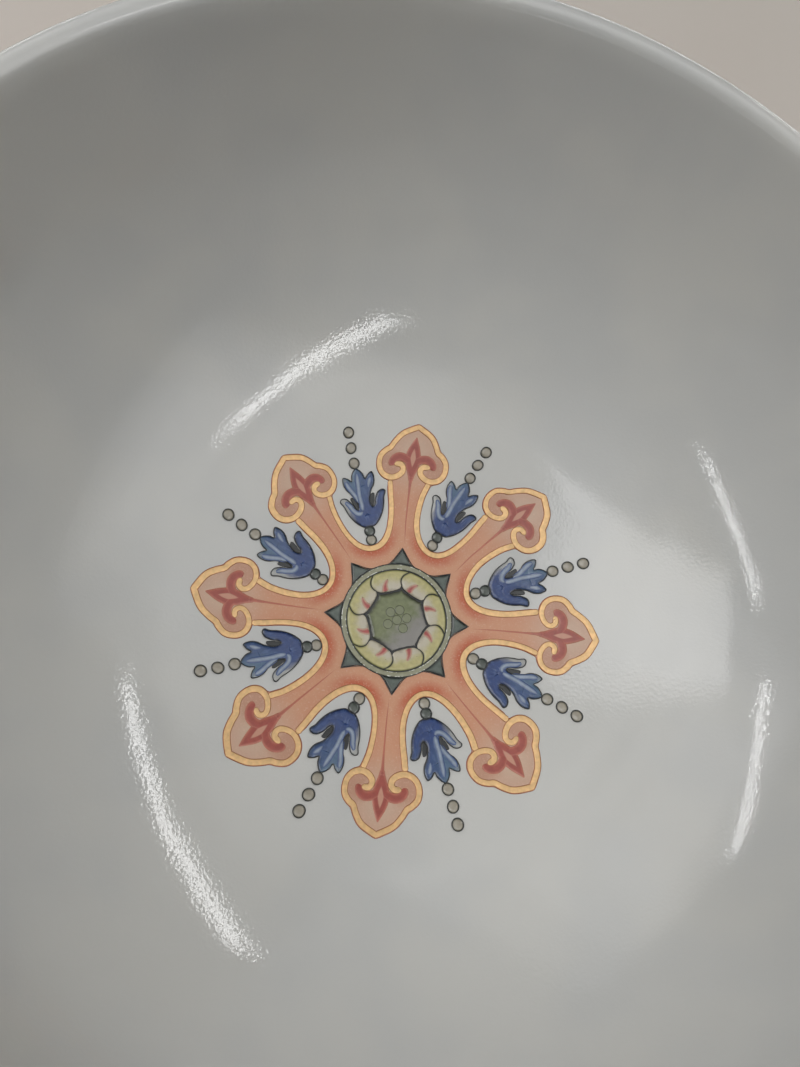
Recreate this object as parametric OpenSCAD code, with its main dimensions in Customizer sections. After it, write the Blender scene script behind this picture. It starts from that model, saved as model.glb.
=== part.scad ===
// Porcelain bowl on a foot ring, glazed white, with a scratched enamel ground outside
// and an eight-armed enamel and gold rosette painted on the inside floor.
// The axis of the bowl is Z and the foot ring stands on Z = 0. All sizes are in mm.

/* [Bowl] */
// Diameter over the glazed lip
rim_d = 150; // [140:1:160]
// Height from the table to the top of the lip
bowl_h = 64; // [60:1:72]
// Thickness of the clay in the wall and the floor
wall_t = 2.6; // [2:0.1:3.4]
// Height of the glazed inside floor above the table
floor_z = 10; // [8:0.5:12]
// Radius of the shallow dish curve of the inside floor
floor_curve_r = 125; // [110:1:145]
// Width of plain floor between the rosette and the turn of the wall
floor_margin = 2.4; // [1:0.1:5]
// Slope of the wall where its round lower part ends, in degrees from level
wall_slope = 72; // [68:1:75]
// Slope of the wall at the lip, in degrees from level
lip_slope = 79; // [77:1:83]

/* [Foot ring] */
// Diameter of the foot ring
foot_d = 60; // [54:1:66]
// Width of the foot ring across the clay
foot_w = 3.4; // [2.6:0.1:4.6]
// Rounding of the two edges of the standing face
foot_round = 0.8; // [0.3:0.1:1]
// Height of bare clay between the table and the glaze
foot_bare_h = 1.8; // [1.2:0.1:3]

/* [Coats] */
// Thickness of the clear white glaze
glaze_t = 0.3; // [0.2:0.05:0.5]
// Thickness of the scratched enamel ground outside
ground_t = 0.2; // [0.15:0.05:0.4]
// Height of white glaze left between the ground and the top of the lip
ground_drop = 3; // [2:0.1:8]
// Thickness of the first coat of the rosette, the coral wash and the dark drawing
wash_t = 0.1; // [0.08:0.01:0.2]
// Thickness of the enamels and gold laid on the first coat
enamel_t = 0.2; // [0.1:0.01:0.35]
// Thickness of the last touches laid on the enamels
touch_t = 0.08; // [0.06:0.01:0.15]

/* [Arms of the rosette] */
// Distance from the axis of the bowl to the points of the arms
rosette_r = 34.6; // [33:0.1:37]
// Turn of the rosette, in degrees
rosette_turn = -8.9; // [-22:0.1:22]
// Width of an arm's head between the gold lines of its side lobes
head_w = 12.4; // [11:0.1:13]
// Length of an arm's head from its side lobes to its point
head_l = 9.2; // [8.4:0.1:10]
// Width of the gold lines
gold_w = 1; // [0.7:0.05:1.2]
// Red edge of the coral wash that shows outside the gold
coral_edge = 0.12; // [0.06:0.01:0.2]
// Width of coral between the medallion and the gold of each bay
coral_band = 2.7; // [2.2:0.1:3.2]
// Bare coral between the gold at the point and the lily
lily_gap = 1; // [0.5:0.1:1.6]
// Length of the lily's blade, without its stem
lily_l = 8; // [7:0.1:8.6]
// Width of the lily's blade
blade_w = 3; // [2.4:0.1:3.4]
// Width of the lily over its two volutes
lily_w = 8.8; // [8:0.1:9.2]
// Width of the lily's stem where it leaves the blade
stem_w = 0.8; // [0.5:0.05:1.1]

/* [Medallion] */
// Width of the dark drawing lines
line_w = 0.14; // [0.1:0.01:0.2]
// Distance from the axis to the points of the green star
star_r = 12.6; // [11.8:0.1:13]
// Width of a star point where it leaves the ring, in degrees round the axis
star_width = 32; // [26:1:36]
// Diameter of the pale green ring
ring_d = 19.2; // [18.4:0.1:20]
// Width of the pale green ring
ring_w = 0.8; // [0.5:0.05:1.1]
// Diameter of the circle at which the petals end inside
petal_in_d = 10.4; // [10:0.1:11]
// Sweep of a petal's round flank, in degrees round the axis
petal_sweep = 9; // [5:0.5:12]
// Width of the red vein at the foot of a petal
vein_w = 0.5; // [0.3:0.05:0.7]
// Diameter of the seed pod
pod_d = 9.5; // [8.6:0.1:9.6]
// Diameter of a seed
seed_d = 1.5; // [1.1:0.1:1.6]
// Distance from the middle seed to the seeds round it
seed_r = 1.75; // [1.7:0.05:2.2]

/* [Bays between the arms] */
// Diameter of the beads
bead_d = 1.5; // [1.2:0.05:1.7]
// Step between the beads outside the leaf
bead_step = 2.65; // [2.2:0.05:2.8]
// Length of a leaf
leaf_l = 10.3; // [9.4:0.1:10.8]
// Width of a leaf over its side lobes
leaf_w = 9.2; // [8.2:0.1:9.6]
// Width of the white light along a leaf
light_w = 0.45; // [0.25:0.05:0.6]

/* [Hidden] */
$fn = 180;
arms = 8;
arm_step = 360 / arms;
// Points that a smooth curve gets between two of the points that it is drawn through
curve_steps = 3;
// Points on each side of a bay's gold line
bay_steps = 10;

// Depths of the coats, measured outward from the inside surface of the glaze
clay_in = glaze_t;
clay_out = clay_in + wall_t;
glaze_out = clay_out + glaze_t;
ground_out = glaze_out + ground_t;

// The inside surface is three arcs that run into each other: floor, wall and upper wall.
// The radii of the two wall arcs follow from the rim, the height and the slopes.
floor_r = rosette_r + floor_margin;
floor_slope = asin(floor_r / floor_curve_r);
lip_half_t = wall_t / 2 + glaze_t;
lip_in_r = rim_d / 2 - lip_half_t * (1 + sin(lip_slope));
lip_in_z = bowl_h - lip_half_t * (1 - cos(lip_slope));
run_r = lip_in_r - floor_r;
run_z = lip_in_z - floor_z - floor_curve_r * (1 - cos(floor_slope));
wall_dr = sin(wall_slope) - sin(floor_slope);
wall_dz = cos(floor_slope) - cos(wall_slope);
upper_dr = sin(lip_slope) - sin(wall_slope);
upper_dz = cos(wall_slope) - cos(lip_slope);
solve_by = wall_dr * upper_dz - wall_dz * upper_dr;
wall_r = (run_r * upper_dz - run_z * upper_dr) / solve_by;
upper_r = (run_z * wall_dr - run_r * wall_dz) / solve_by;
floor_c = [0, floor_z + floor_curve_r];
wall_c = floor_c + (floor_curve_r - wall_r) * outward(floor_slope);
upper_c = wall_c + (wall_r - upper_r) * outward(wall_slope);
lip_c = upper_c + (upper_r + lip_half_t) * outward(lip_slope);

// Degrees between the points of the profile, on the floor and elsewhere. The floor's are close,
// so that the chords between them stay within the gap under the coats of the rosette.
floor_step = 0.8;
wall_step = 2;
lip_step = 12;

// Foot ring: its edges are rounded as far as its width allows
foot_out_r = foot_d / 2;
foot_in_r = foot_out_r - foot_w;
foot_edge_r = min(foot_round, foot_w / 3);
foot_top_z = floor_c[1] - sqrt(pow(floor_curve_r + (clay_in + clay_out) / 2, 2) - pow(foot_out_r, 2));

// Levels of the rosette's coats above the glaze of the floor
wash_top = wash_t;
enamel_top = wash_top + enamel_t;
touch_top = enamel_top + touch_t;
// How far the outline that cuts a coat out reaches below and above the floor
coat_reach = 1;
// Gap under each coat, so that its curved face stays clear of the one it lies on
seat_gap = 0.01;

// Places along an arm and along a bay, measured out from the axis
ring_r = ring_d / 2;
medallion_r = ring_r + line_w;
head_tip = rosette_r - gold_w / 2 - coral_edge;
head_base = head_tip - head_l;
lily_tip = head_tip - gold_w / 2 - lily_gap;
lily_base = lily_tip - lily_l;
bay_base = medallion_r + coral_band + gold_w / 2;
pale_bead_at = bay_base + gold_w / 2 + coral_edge + 2 * line_w + bead_d / 2;
dark_bead_at = pale_bead_at + bead_d + line_w;
leaf_base = dark_bead_at + bead_d / 2 + line_w;
leaf_tip = leaf_base + leaf_l;
outer_bead_at = leaf_tip + line_w + bead_d / 2;
outer_beads_per_bay = 3;
petal_out_r = ring_r - ring_w - line_w;
petal_in_r = petal_in_d / 2;
petal_mid_r = (petal_out_r + petal_in_r) / 2;

// Half of an arm's gold head line, from its point to the end of its curl.
// Across is in half widths of the head, along is in lengths of the head.
head_shape = [
    [0, 1], [0.4, 0.855], [0.6, 0.7], [0.71, 0.56], [0.83, 0.5], [0.965, 0.39], [1, 0.265],
    [0.95, 0.135], [0.81, 0.035], [0.6, 0], [0.41, 0.04], [0.3, 0.13], [0.31, 0.22],
    [0.4, 0.275]
];
// Place in that list of the lowest point of the side lobe
lobe_foot = 9;

// Half of a leaf, from its base round its side lobe and its tip.
// Across is in half widths of the leaf, along is in lengths of the leaf.
leaf_shape = [
    [0, 0], [0.26, 0.03], [0.5, 0.11], [0.67, 0.21], [0.78, 0.32], [0.86, 0.43],
    [1, 0.53], [0.88, 0.57], [0.68, 0.545], [0.52, 0.45], [0.42, 0.35], [0.315, 0.305],
    [0.25, 0.37], [0.27, 0.46], [0.39, 0.575], [0.565, 0.675], [0.64, 0.78],
    [0.6, 0.88], [0.41, 0.85], [0.27, 0.8], [0.23, 0.88], [0.12, 0.955], [0, 1]
];
// Dark eye between the side lobe and the middle of a leaf
eye_shape = [[0.3, 0.27], [0.46, 0.4], [0.53, 0.54], [0.36, 0.54], [0.22, 0.4]];
// White light along the middle of a leaf, and along its lit side lobe
midrib_shape = [[-0.05, 0.34], [-0.04, 0.55], [0.01, 0.75], [0.02, 0.92]];
lit_lobe_shape = [[-0.84, 0.5], [-0.66, 0.38], [-0.48, 0.29], [-0.3, 0.255], [-0.16, 0.3]];

// Half of a lily's blade, from its stem to its tip.
// Across is in half widths of the blade, down is in lengths of the blade.
blade_shape = [
    [0.27, 1], [0.42, 0.875], [0.68, 0.75], [0.9, 0.625], [1, 0.525], [0.95, 0.44],
    [0.77, 0.31], [0.5, 0.19], [0, 0]
];
// Middle line of a volute, across in half widths of the lily, down as above
volute_shape = [[0.2, 0.53], [0.36, 0.46], [0.57, 0.425], [0.78, 0.48], [0.88, 0.6], [0.82, 0.68]];
volute_w = 1;
volute_drop_d = 1.2;
// Pale eye left open in the blade, in blade lengths and widths
eye_at = 0.49;
eye_l = 0.42;
eye_w = 0.28;
// Bare coral between the end of the stem and the star
stem_gap = 0.4;

// Hand-placed seeds round the middle one, in degrees clockwise from the first arm
seed_angles = [-47, 9, 72, 136, 240];

// Direction at an angle measured from straight down
function outward(a) = [sin(a), -cos(a)];
// Point at an angle measured clockwise from the Y axis
function polar(r, a) = r * [sin(a), cos(a)];
function clamped(pts, i) = pts[max(0, min(len(pts) - 1, i))];
function backward(pts) = [for (i = [len(pts) - 1 : -1 : 0]) pts[i]];
function mirrored(pts) = [for (p = backward(pts)) [-p[0], p[1]]];
function scaled(pts, across, along, start) = [for (p = pts) [p[0] * across, start + p[1] * along]];
function turned(pts, a) = [for (p = pts) [p[0] * cos(a) - p[1] * sin(a), p[0] * sin(a) + p[1] * cos(a)]];
function middle(pts, from, to) = [for (i = [from : to]) pts[i]];

// Smooth curve through the points a, b, c, d between b and c
function between(a, b, c, d, t) =
    b + (c - a) * t / 2 + (a - 2.5 * b + 2 * c - d / 2) * t * t + (1.5 * (b - c) + (d - a) / 2) * t * t * t;
function smooth(pts) = concat(
    [for (i = [0 : len(pts) - 2], j = [0 : curve_steps - 1])
        between(clamped(pts, i - 1), pts[i], pts[i + 1], clamped(pts, i + 2), j / curve_steps)],
    [pts[len(pts) - 1]]
);

// Points round a centre from one slope to another, without the first
function arc(c, r, a0, a1, step) =
    let (n = max(1, round(abs(a1 - a0) / step)))
    [for (i = [1 : n]) c + r * outward(a0 + (a1 - a0) * i / n)];
// Profile of the bowl at a depth behind its inside surface, from the axis to the lip
function depth_line(depth) = concat(
    [[0, floor_z - depth]],
    arc(floor_c, floor_curve_r + depth, 0, floor_slope, floor_step),
    arc(wall_c, wall_r + depth, floor_slope, wall_slope, wall_step),
    arc(upper_c, upper_r + depth, wall_slope, lip_slope, wall_step)
);
// Round end of the lip, from the inside over the top, without its two ends
function lip_line(r) = arc(lip_c, r, lip_slope + 180, lip_slope + lip_step, lip_step);
// Step from the clay to the glaze on the outside of the lip
lip_step_out = [for (r = [wall_t / 2, lip_half_t]) lip_c + r * outward(lip_slope)];

// Left-hand normal of a line of points, and the line moved sideways along it
function normal(pts, i) =
    let (d = clamped(pts, i + 1) - clamped(pts, i - 1))
    [-d[1], d[0]] / norm(d);
function shifted(pts, d) = [for (i = [0 : len(pts) - 1]) pts[i] + d * normal(pts, i)];
// Brush stroke along a line, from one width to another
function stroke(pts, w0, w1) =
    let (n = len(pts) - 1)
    concat(
        [for (i = [0 : n]) pts[i] - normal(pts, i) * (w0 + (w1 - w0) * i / n) / 2],
        [for (i = [n : -1 : 0]) pts[i] + normal(pts, i) * (w0 + (w1 - w0) * i / n) / 2]
    );

// Gold line round a head, from the curl on its left to the curl on its right
head_half = smooth(scaled(head_shape, head_w / 2, head_l, head_base));
head_line = concat(mirrored(head_half), middle(head_half, 1, len(head_half) - 1));
head_lobe = len(head_half) - 1 + lobe_foot * curve_steps;
// Foot of a side lobe, seen from the bay beside it, where the bay's gold line ends
lobe_in_bay = turned([head_half[lobe_foot * curve_steps]], arm_step / 2)[0];
bay_l = lobe_in_bay[1] - bay_base;
bay_half_w = -lobe_in_bay[0];
// How much rounder than a parabola the inner end of a bay is
bay_fullness = 0.2;
function bay_point(s) =
    [bay_half_w * s * (1 + bay_fullness * (1 - s * s)), bay_base + bay_l * s * s];
bay_line = [for (i = [-bay_steps : bay_steps]) bay_point(i / bay_steps)];

// Outer edge of the coral wash for one arm: up one bay, round the head, down the next bay
wash_reach = gold_w / 2 + coral_edge;
bay_edge = shifted(bay_line, wash_reach);
head_edge = shifted(head_line, wash_reach);
half_edge = concat(
    middle(head_edge, len(head_half) - 1, head_lobe - 1),
    turned(middle(bay_edge, 1, bay_steps), -arm_step / 2)
);
arm_edge = concat(mirrored(half_edge), middle(half_edge, 1, len(half_edge) - 2));

// Star points with hollow sides, moved outward by a width
star_steps = 12;
star_hollow = 1.5;
function star_half(grow) = star_width / 2 + grow / medallion_r * 180 / PI;
function star_side(a, grow) =
    medallion_r + (star_r + grow - medallion_r) * pow(max(0, 1 - abs(a) / star_half(grow)), star_hollow);
// Outline of the medallion with all its star points
function medallion_edge(grow) = [
    for (k = [0 : arms - 1], i = [1 - star_steps : star_steps])
        let (a = arm_step / 2 * i / star_steps)
        polar(star_side(a, grow), a + k * arm_step)
];
// One star point, cut off square where its sides run out along the ring
star_cut = 0.9;
function star_point(grow) = concat(
    [for (i = [-star_steps : star_steps])
        let (a = star_cut * star_half(grow) * i / star_steps)
        polar(star_side(a, grow), a)],
    [for (i = [star_steps : -1 : -star_steps])
        polar(medallion_r, star_cut * star_half(grow) * i / star_steps)]
);

// Petal: round flank, scalloped inner end, the next petal's flank, and the ring
function flank(r) = petal_sweep * pow((r - petal_mid_r) / (petal_out_r - petal_mid_r), 2);
petal_steps = 8;
petal_lift = 0.4;
petal_scallop = 0.2;
petal_lift_r = petal_in_r + petal_lift;
// Width of a petal in degrees round the axis, which leaves a dark line beside it
petal_a = arm_step - line_w / petal_mid_r * 180 / PI;
function part_way(a, b, i) = a + (b - a) * i / petal_steps;
function petal_edge() = concat(
    [for (i = [0 : petal_steps])
        let (r = part_way(petal_out_r, petal_in_r, i))
        polar(r, flank(r))],
    [for (i = [1 : petal_steps - 1])
        let (u = i / petal_steps, r = petal_in_r - petal_scallop * sin(180 * u) + petal_lift * pow(u, 4))
        polar(r, part_way(flank(petal_in_r), petal_a + flank(petal_lift_r), i))],
    [for (i = [0 : petal_steps])
        let (r = part_way(petal_lift_r, petal_out_r, i))
        polar(r, petal_a + flank(r))],
    [for (i = [1 : petal_steps - 1])
        polar(petal_out_r, petal_sweep + part_way(petal_a, 0, i))]
);
// Red vein that leans with the petals, from an angle past the petal's flank
vein_at = 17;
vein_lean = 9;
vein_l = 2.1;
vein_steps = 4;
vein_line = [
    for (i = [0 : vein_steps])
        let (u = i / vein_steps)
        polar(petal_in_r + vein_l * u, vein_at + vein_lean * u * u)
];

function leaf_line(shape) = smooth(scaled(shape, leaf_w / 2, leaf_l, leaf_base));
leaf_half = leaf_line(leaf_shape);
leaf_edge = concat(leaf_half, middle(mirrored(leaf_half), 1, len(leaf_half) - 2));
leaf_eye = scaled(eye_shape, leaf_w / 2, leaf_l, leaf_base);
blade_half = smooth(scaled(blade_shape, blade_w / 2, -lily_l, lily_tip));
volute_line = smooth(scaled(volute_shape, lily_w / 2, -lily_l, lily_tip));

module foot_profile() {
    translate([foot_in_r, foot_edge_r]) square([foot_w, foot_top_z - foot_edge_r]);
    translate([foot_in_r + foot_edge_r, 0]) square([foot_w - 2 * foot_edge_r, 2 * foot_edge_r]);
    translate([foot_in_r + foot_edge_r, foot_edge_r]) circle(foot_edge_r);
    translate([foot_out_r - foot_edge_r, foot_edge_r]) circle(foot_edge_r);
}

// Layer of the wall between two depths behind the inside surface
module layer(from, to) {
    polygon(concat(depth_line(to), backward(depth_line(from))));
}

// Glaze down one side of the foot ring, ending at the underside of the clay floor
module foot_skin(r) {
    difference() {
        translate([r, foot_bare_h]) square([glaze_t, foot_top_z - foot_bare_h]);
        layer(clay_in, clay_out);
    }
}

// Coat of the rosette between two levels above the glaze, cut out by a flat outline
module coat(from, to) {
    intersection() {
        translate([0, 0, floor_z - coat_reach])
            linear_extrude(floor_curve_r * (1 - cos(floor_slope)) + 2 * coat_reach)
                rotate(rosette_turn) children();
        translate([0, 0, floor_c[1]])
            difference() {
                sphere(floor_curve_r - from - seat_gap);
                sphere(floor_curve_r - to);
            }
    }
}

module at_arm(k) {
    rotate(-k * arm_step) children();
}

module at_bay(k) {
    rotate(-(k + 0.5) * arm_step) children();
}

module on_axis(at) {
    translate([0, at]) children();
}

module porcelain_body() {
    color("whitesmoke")
        rotate_extrude() {
            polygon(concat(
                depth_line(clay_out), backward(lip_line(wall_t / 2)), backward(depth_line(clay_in))
            ));
            foot_profile();
        }
}

// The glaze of the inside runs over the lip
module inner_glaze() {
    color("white")
        rotate_extrude()
            polygon(concat(
                depth_line(clay_in), lip_line(wall_t / 2), lip_step_out,
                backward(lip_line(lip_half_t)), backward(depth_line(0))
            ));
}

module outer_glaze() {
    color("white")
        rotate_extrude() {
            difference() {
                layer(clay_out, glaze_out);
                square([foot_out_r, bowl_h]);
            }
            foot_skin(foot_out_r);
        }
}

module base_glaze() {
    color("white")
        rotate_extrude() {
            intersection() {
                layer(clay_out, glaze_out);
                square([foot_in_r, bowl_h]);
            }
            foot_skin(foot_in_r - glaze_t);
        }
}

module sgraffito_ground() {
    color("palevioletred")
        rotate_extrude()
            intersection() {
                layer(glaze_out, ground_out);
                translate([foot_out_r + glaze_t, 0]) square([rim_d, bowl_h - ground_drop]);
            }
}

module coral_wash() {
    color("darksalmon")
        coat(0, wash_top)
            difference() {
                polygon([for (k = [0 : arms - 1], p = turned(arm_edge, -k * arm_step)) p]);
                medallion_outline();
            }
}

module medallion_outline() {
    polygon(medallion_edge(line_w));
}

module medallion_drawing() {
    color("darkslategray") coat(0, wash_top) medallion_outline();
}

module bay_drawing() {
    color("darkslategray")
        coat(0, wash_top)
            for (k = [0 : arms - 1])
                at_bay(k) {
                    polygon(shifted(leaf_edge, -line_w));
                    polygon(leaf_eye);
                    polygon(mirrored(leaf_eye));
                    on_axis(pale_bead_at) circle(bead_d / 2 + line_w);
                    on_axis(dark_bead_at) circle(bead_d / 2 + line_w);
                    outer_bead_row() circle(bead_d / 2 + line_w);
                }
}

module outer_bead_row() {
    for (i = [0 : outer_beads_per_bay - 1])
        on_axis(outer_bead_at + i * bead_step) children();
}

module green_star() {
    color("seagreen")
        coat(wash_top, enamel_top)
            for (k = [0 : arms - 1])
                at_arm(k) polygon(star_point(-line_w));
}

module green_ring() {
    color("darkseagreen")
        coat(wash_top, enamel_top)
            difference() {
                circle(ring_r);
                circle(ring_r - ring_w);
            }
}

module seed_pod() {
    color("darkolivegreen") coat(wash_top, enamel_top) circle(pod_d / 2);
}

module seeds() {
    color("olivedrab")
        coat(enamel_top, touch_top) {
            circle(seed_d / 2);
            for (a = seed_angles)
                translate(polar(seed_r, a)) circle(seed_d / 2);
        }
}

module petal(k) {
    color("khaki") coat(wash_top, enamel_top) at_arm(k) polygon(petal_edge());
}

module petal_veins() {
    color("indianred")
        coat(enamel_top, touch_top)
            for (k = [0 : arms - 1])
                at_arm(k) polygon(stroke(vein_line, vein_w, vein_w / 3));
}

module head_outline() {
    polygon(stroke(head_line, gold_w, gold_w));
}

module gold_head(k) {
    color("goldenrod") coat(wash_top, enamel_top) at_arm(k) head_outline();
}

module gold_bay(k) {
    color("goldenrod")
        coat(wash_top, enamel_top)
            difference() {
                at_bay(k) polygon(stroke(bay_line, gold_w, gold_w));
                at_arm(k) head_outline();
                at_arm(k + 1) head_outline();
            }
}

module red_lily(k) {
    color("firebrick")
        coat(wash_top, enamel_top)
            at_arm(k)
                difference() {
                    union() {
                        polygon(concat(blade_half, mirrored(blade_half)));
                        lily_stem();
                        volute(volute_line);
                        volute(mirrored(backward(volute_line)));
                    }
                    on_axis(lily_tip - eye_at * lily_l) open_eye(eye_l * lily_l, eye_w * blade_w);
                    head_outline();
                }
}

module lily_stem() {
    end = star_r + stem_gap;
    polygon([
        [-line_w / 2, end], [line_w / 2, end],
        [stem_w / 2, lily_base + stem_w], [-stem_w / 2, lily_base + stem_w]
    ]);
}

// Volute with a round drop at its end
module volute(line) {
    polygon(stroke(line, volute_w, volute_w));
    translate(line[len(line) - 1]) circle(volute_drop_d / 2);
}

// Pointed oval between two arcs
module open_eye(l, w) {
    r = (l * l + w * w) / (4 * w);
    intersection() {
        translate([r - w / 2, 0]) circle(r);
        translate([w / 2 - r, 0]) circle(r);
    }
}

module blue_leaf(k) {
    color("royalblue") coat(wash_top, enamel_top) at_bay(k) polygon(leaf_edge);
}

module leaf_lights() {
    color("aliceblue")
        coat(enamel_top, touch_top)
            for (k = [0 : arms - 1])
                at_bay(k)
                    for (shape = [midrib_shape, lit_lobe_shape])
                        polygon(stroke(leaf_line(shape), light_w, light_w / 2));
}

module pale_beads() {
    color("gainsboro")
        coat(wash_top, enamel_top)
            for (k = [0 : arms - 1])
                at_bay(k) on_axis(pale_bead_at) circle(bead_d / 2);
}

module dark_beads() {
    color("darkslategray")
        coat(wash_top, enamel_top)
            for (k = [0 : arms - 1])
                at_bay(k) on_axis(dark_bead_at) circle(bead_d / 2);
}

module outer_beads() {
    color("gainsboro")
        coat(wash_top, enamel_top)
            for (k = [0 : arms - 1])
                at_bay(k) outer_bead_row() circle(bead_d / 2);
}

porcelain_body();
inner_glaze();
outer_glaze();
base_glaze();
sgraffito_ground();
coral_wash();
medallion_drawing();
bay_drawing();
green_star();
green_ring();
seed_pod();
seeds();
petal_veins();
pale_beads();
dark_beads();
outer_beads();
leaf_lights();
for (k = [0 : arms - 1]) {
    gold_head(k);
    gold_bay(k);
    red_lily(k);
    petal(k);
    blue_leaf(k);
}
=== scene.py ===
import math

import bmesh
import bpy
import numpy as np
from mathutils import Matrix, Vector


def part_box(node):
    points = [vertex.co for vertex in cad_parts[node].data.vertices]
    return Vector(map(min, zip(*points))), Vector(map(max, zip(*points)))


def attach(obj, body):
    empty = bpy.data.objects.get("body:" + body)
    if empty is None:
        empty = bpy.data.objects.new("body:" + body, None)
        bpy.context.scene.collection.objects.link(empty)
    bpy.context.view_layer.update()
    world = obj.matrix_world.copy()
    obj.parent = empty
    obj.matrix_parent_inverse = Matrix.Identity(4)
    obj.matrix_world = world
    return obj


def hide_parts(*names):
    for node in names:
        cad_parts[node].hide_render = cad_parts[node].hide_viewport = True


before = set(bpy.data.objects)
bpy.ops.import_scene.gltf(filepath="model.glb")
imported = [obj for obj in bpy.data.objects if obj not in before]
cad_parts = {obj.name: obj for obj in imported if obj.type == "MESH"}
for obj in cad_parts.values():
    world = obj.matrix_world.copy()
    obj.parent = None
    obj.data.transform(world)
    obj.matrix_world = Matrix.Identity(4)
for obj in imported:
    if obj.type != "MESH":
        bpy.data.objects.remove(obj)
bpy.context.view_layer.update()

# Clay body
# White porcelain clay, thrown on a wheel and trimmed underneath to a foot ring, then fired.
# Glaze hides it everywhere except on the rim it stands on, which was wiped bare.
mm = 0.001
glaze_t = 0.3
wall_t = 2.6
glaze_low, glaze_high = (np.array(corner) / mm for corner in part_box("inner_glaze"))
rim_r = glaze_high[0]
bowl_h = glaze_high[2]
floor_z = glaze_low[2] + glaze_t
floor_curve_r = 125.0
floor_r = 37.0
wall_slope = 72.0
lip_slope = 79.0
foot_out_r = 30.0
foot_in_r = 26.6
foot_edge_r = 0.8
clay_in = glaze_t
clay_out = clay_in + wall_t
glaze_out = clay_out + glaze_t


def slope_point(degrees):
    """Unit step as (radius, height) at an angle turned up from straight down: its sine and minus its cosine."""
    angle = np.radians(degrees)
    return np.stack([np.sin(angle), -np.cos(angle)], axis=-1)


# The inside is a dished floor, a round wall and a steeper upper wall, three arcs that run into each other.
# The radii of the two wall arcs are those that end at the lip.
lip_half_t = wall_t / 2 + glaze_t
floor_slope = math.degrees(math.asin(floor_r / floor_curve_r))
floor_c = np.array([0, floor_z + floor_curve_r])
lip_c = np.array([rim_r - lip_half_t, bowl_h - lip_half_t])
wall_run = slope_point(wall_slope) - slope_point(floor_slope)
upper_run = slope_point(lip_slope) - slope_point(wall_slope)
whole_run = lip_c - lip_half_t * slope_point(lip_slope) - floor_c - floor_curve_r * slope_point(floor_slope)
wall_r, upper_r = np.linalg.solve(np.stack([wall_run, upper_run], axis=1), whole_run)
wall_c = floor_c + (floor_curve_r - wall_r) * slope_point(floor_slope)
upper_c = wall_c + (wall_r - upper_r) * slope_point(wall_slope)
floor_slopes = np.linspace(0, floor_slope, 40)[:-1]
wall_slopes = np.linspace(floor_slope, wall_slope, 56)[:-1]
upper_slopes = np.linspace(wall_slope, lip_slope, 16)
slopes = np.concatenate([floor_slopes, wall_slopes, upper_slopes])
inside_line = np.concatenate([
    floor_c + floor_curve_r * slope_point(floor_slopes),
    wall_c + wall_r * slope_point(wall_slopes),
    upper_c + upper_r * slope_point(upper_slopes),
])


def depth_line(depth):
    """Profile of the bowl at a depth behind its inside: the inside line moved out along its own normals."""
    return inside_line + depth * slope_point(slopes)


def lip_line(radius):
    """Half circle over the lip, from its inside to its outside."""
    return lip_c + radius * slope_point(np.linspace(lip_slope + 180, lip_slope, 26)[1:-1])


def lathe(profile, turns=256):
    """Surface of revolution: each (radius, height) of the profile goes once round the axis."""
    angle = np.linspace(0, 2 * np.pi, turns, endpoint=False)
    radius = profile[:, :1]
    height = profile[:, 1:]
    return np.stack([radius * np.cos(angle), radius * np.sin(angle), height + 0 * angle], axis=-1)


def add_piece(name, finish, nodes, surfaces, places=()):
    """One smooth piece of the bowl from grids of points in mm, each with its grid of paint places.

    The columns of a grid close on themselves. So do its rows, unless its first row is one point."""
    corners = []
    quads = []
    first = 0
    for grid in surfaces:
        rows, columns = grid.shape[-3:-1]
        grid = grid.reshape(-1, rows, columns, 3)
        looped = np.ptp(grid[0, 0], axis=0).max() > 1e-6
        row = np.arange(rows if looped else rows - 1)[:, None] * columns
        next_row = (row + columns) % (rows * columns)
        column = np.arange(columns)
        next_column = (column + 1) % columns
        quad = np.stack([row + column, next_row + column, next_row + next_column, row + next_column], axis=-1)
        copies = first + rows * columns * np.arange(len(grid))
        quads.append((copies[:, None, None] + quad.reshape(-1, 4)).reshape(-1, 4))
        corners.append(grid.reshape(-1, 3))
        first += rows * columns * len(grid)
    mesh = bpy.data.meshes.new(name)
    mesh.from_pydata((np.concatenate(corners) * mm).tolist(), [], np.concatenate(quads).tolist())
    if places:
        place = mesh.attributes.new("place", "FLOAT_VECTOR", "POINT")
        place.data.foreach_set("vector", np.concatenate([p.reshape(-1) for p in places]))
    shell = bmesh.new()
    shell.from_mesh(mesh)
    bmesh.ops.remove_doubles(shell, verts=shell.verts, dist=2e-8)
    bmesh.ops.recalc_face_normals(shell, faces=shell.faces)
    shell.to_mesh(mesh)
    shell.free()
    mesh.shade_smooth()
    mesh.materials.append(finish)
    piece = bpy.data.objects.new(name, mesh)
    bpy.context.scene.collection.objects.link(piece)
    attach(piece, "root")
    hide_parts(*nodes)


def paint(red, green, blue):
    """Colour as the eye reads it, 0 to 255, as the linear light that a shader takes."""
    share = np.array([red, green, blue]) / 255
    linear = np.where(share <= 0.04045, share / 12.92, ((share + 0.055) / 1.055) ** 2.4)
    return (*linear.tolist(), 1.0)


def add_node(tree, kind, options=(), **sockets):
    """Node with its options and sockets filled; a socket takes a value or another node's output."""
    node = tree.nodes.new(kind)
    for option, value in dict(options).items():
        setattr(node, option, value)
    fill(tree, node, {name.replace("_", " "): value for name, value in sockets.items()})
    return node


def fill(tree, node, sockets):
    """Sets or links each named or numbered socket of a node."""
    for name, value in sockets.items():
        if isinstance(value, bpy.types.NodeSocket):
            tree.links.new(value, node.inputs[name])
        else:
            node.inputs[name].default_value = value


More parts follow.
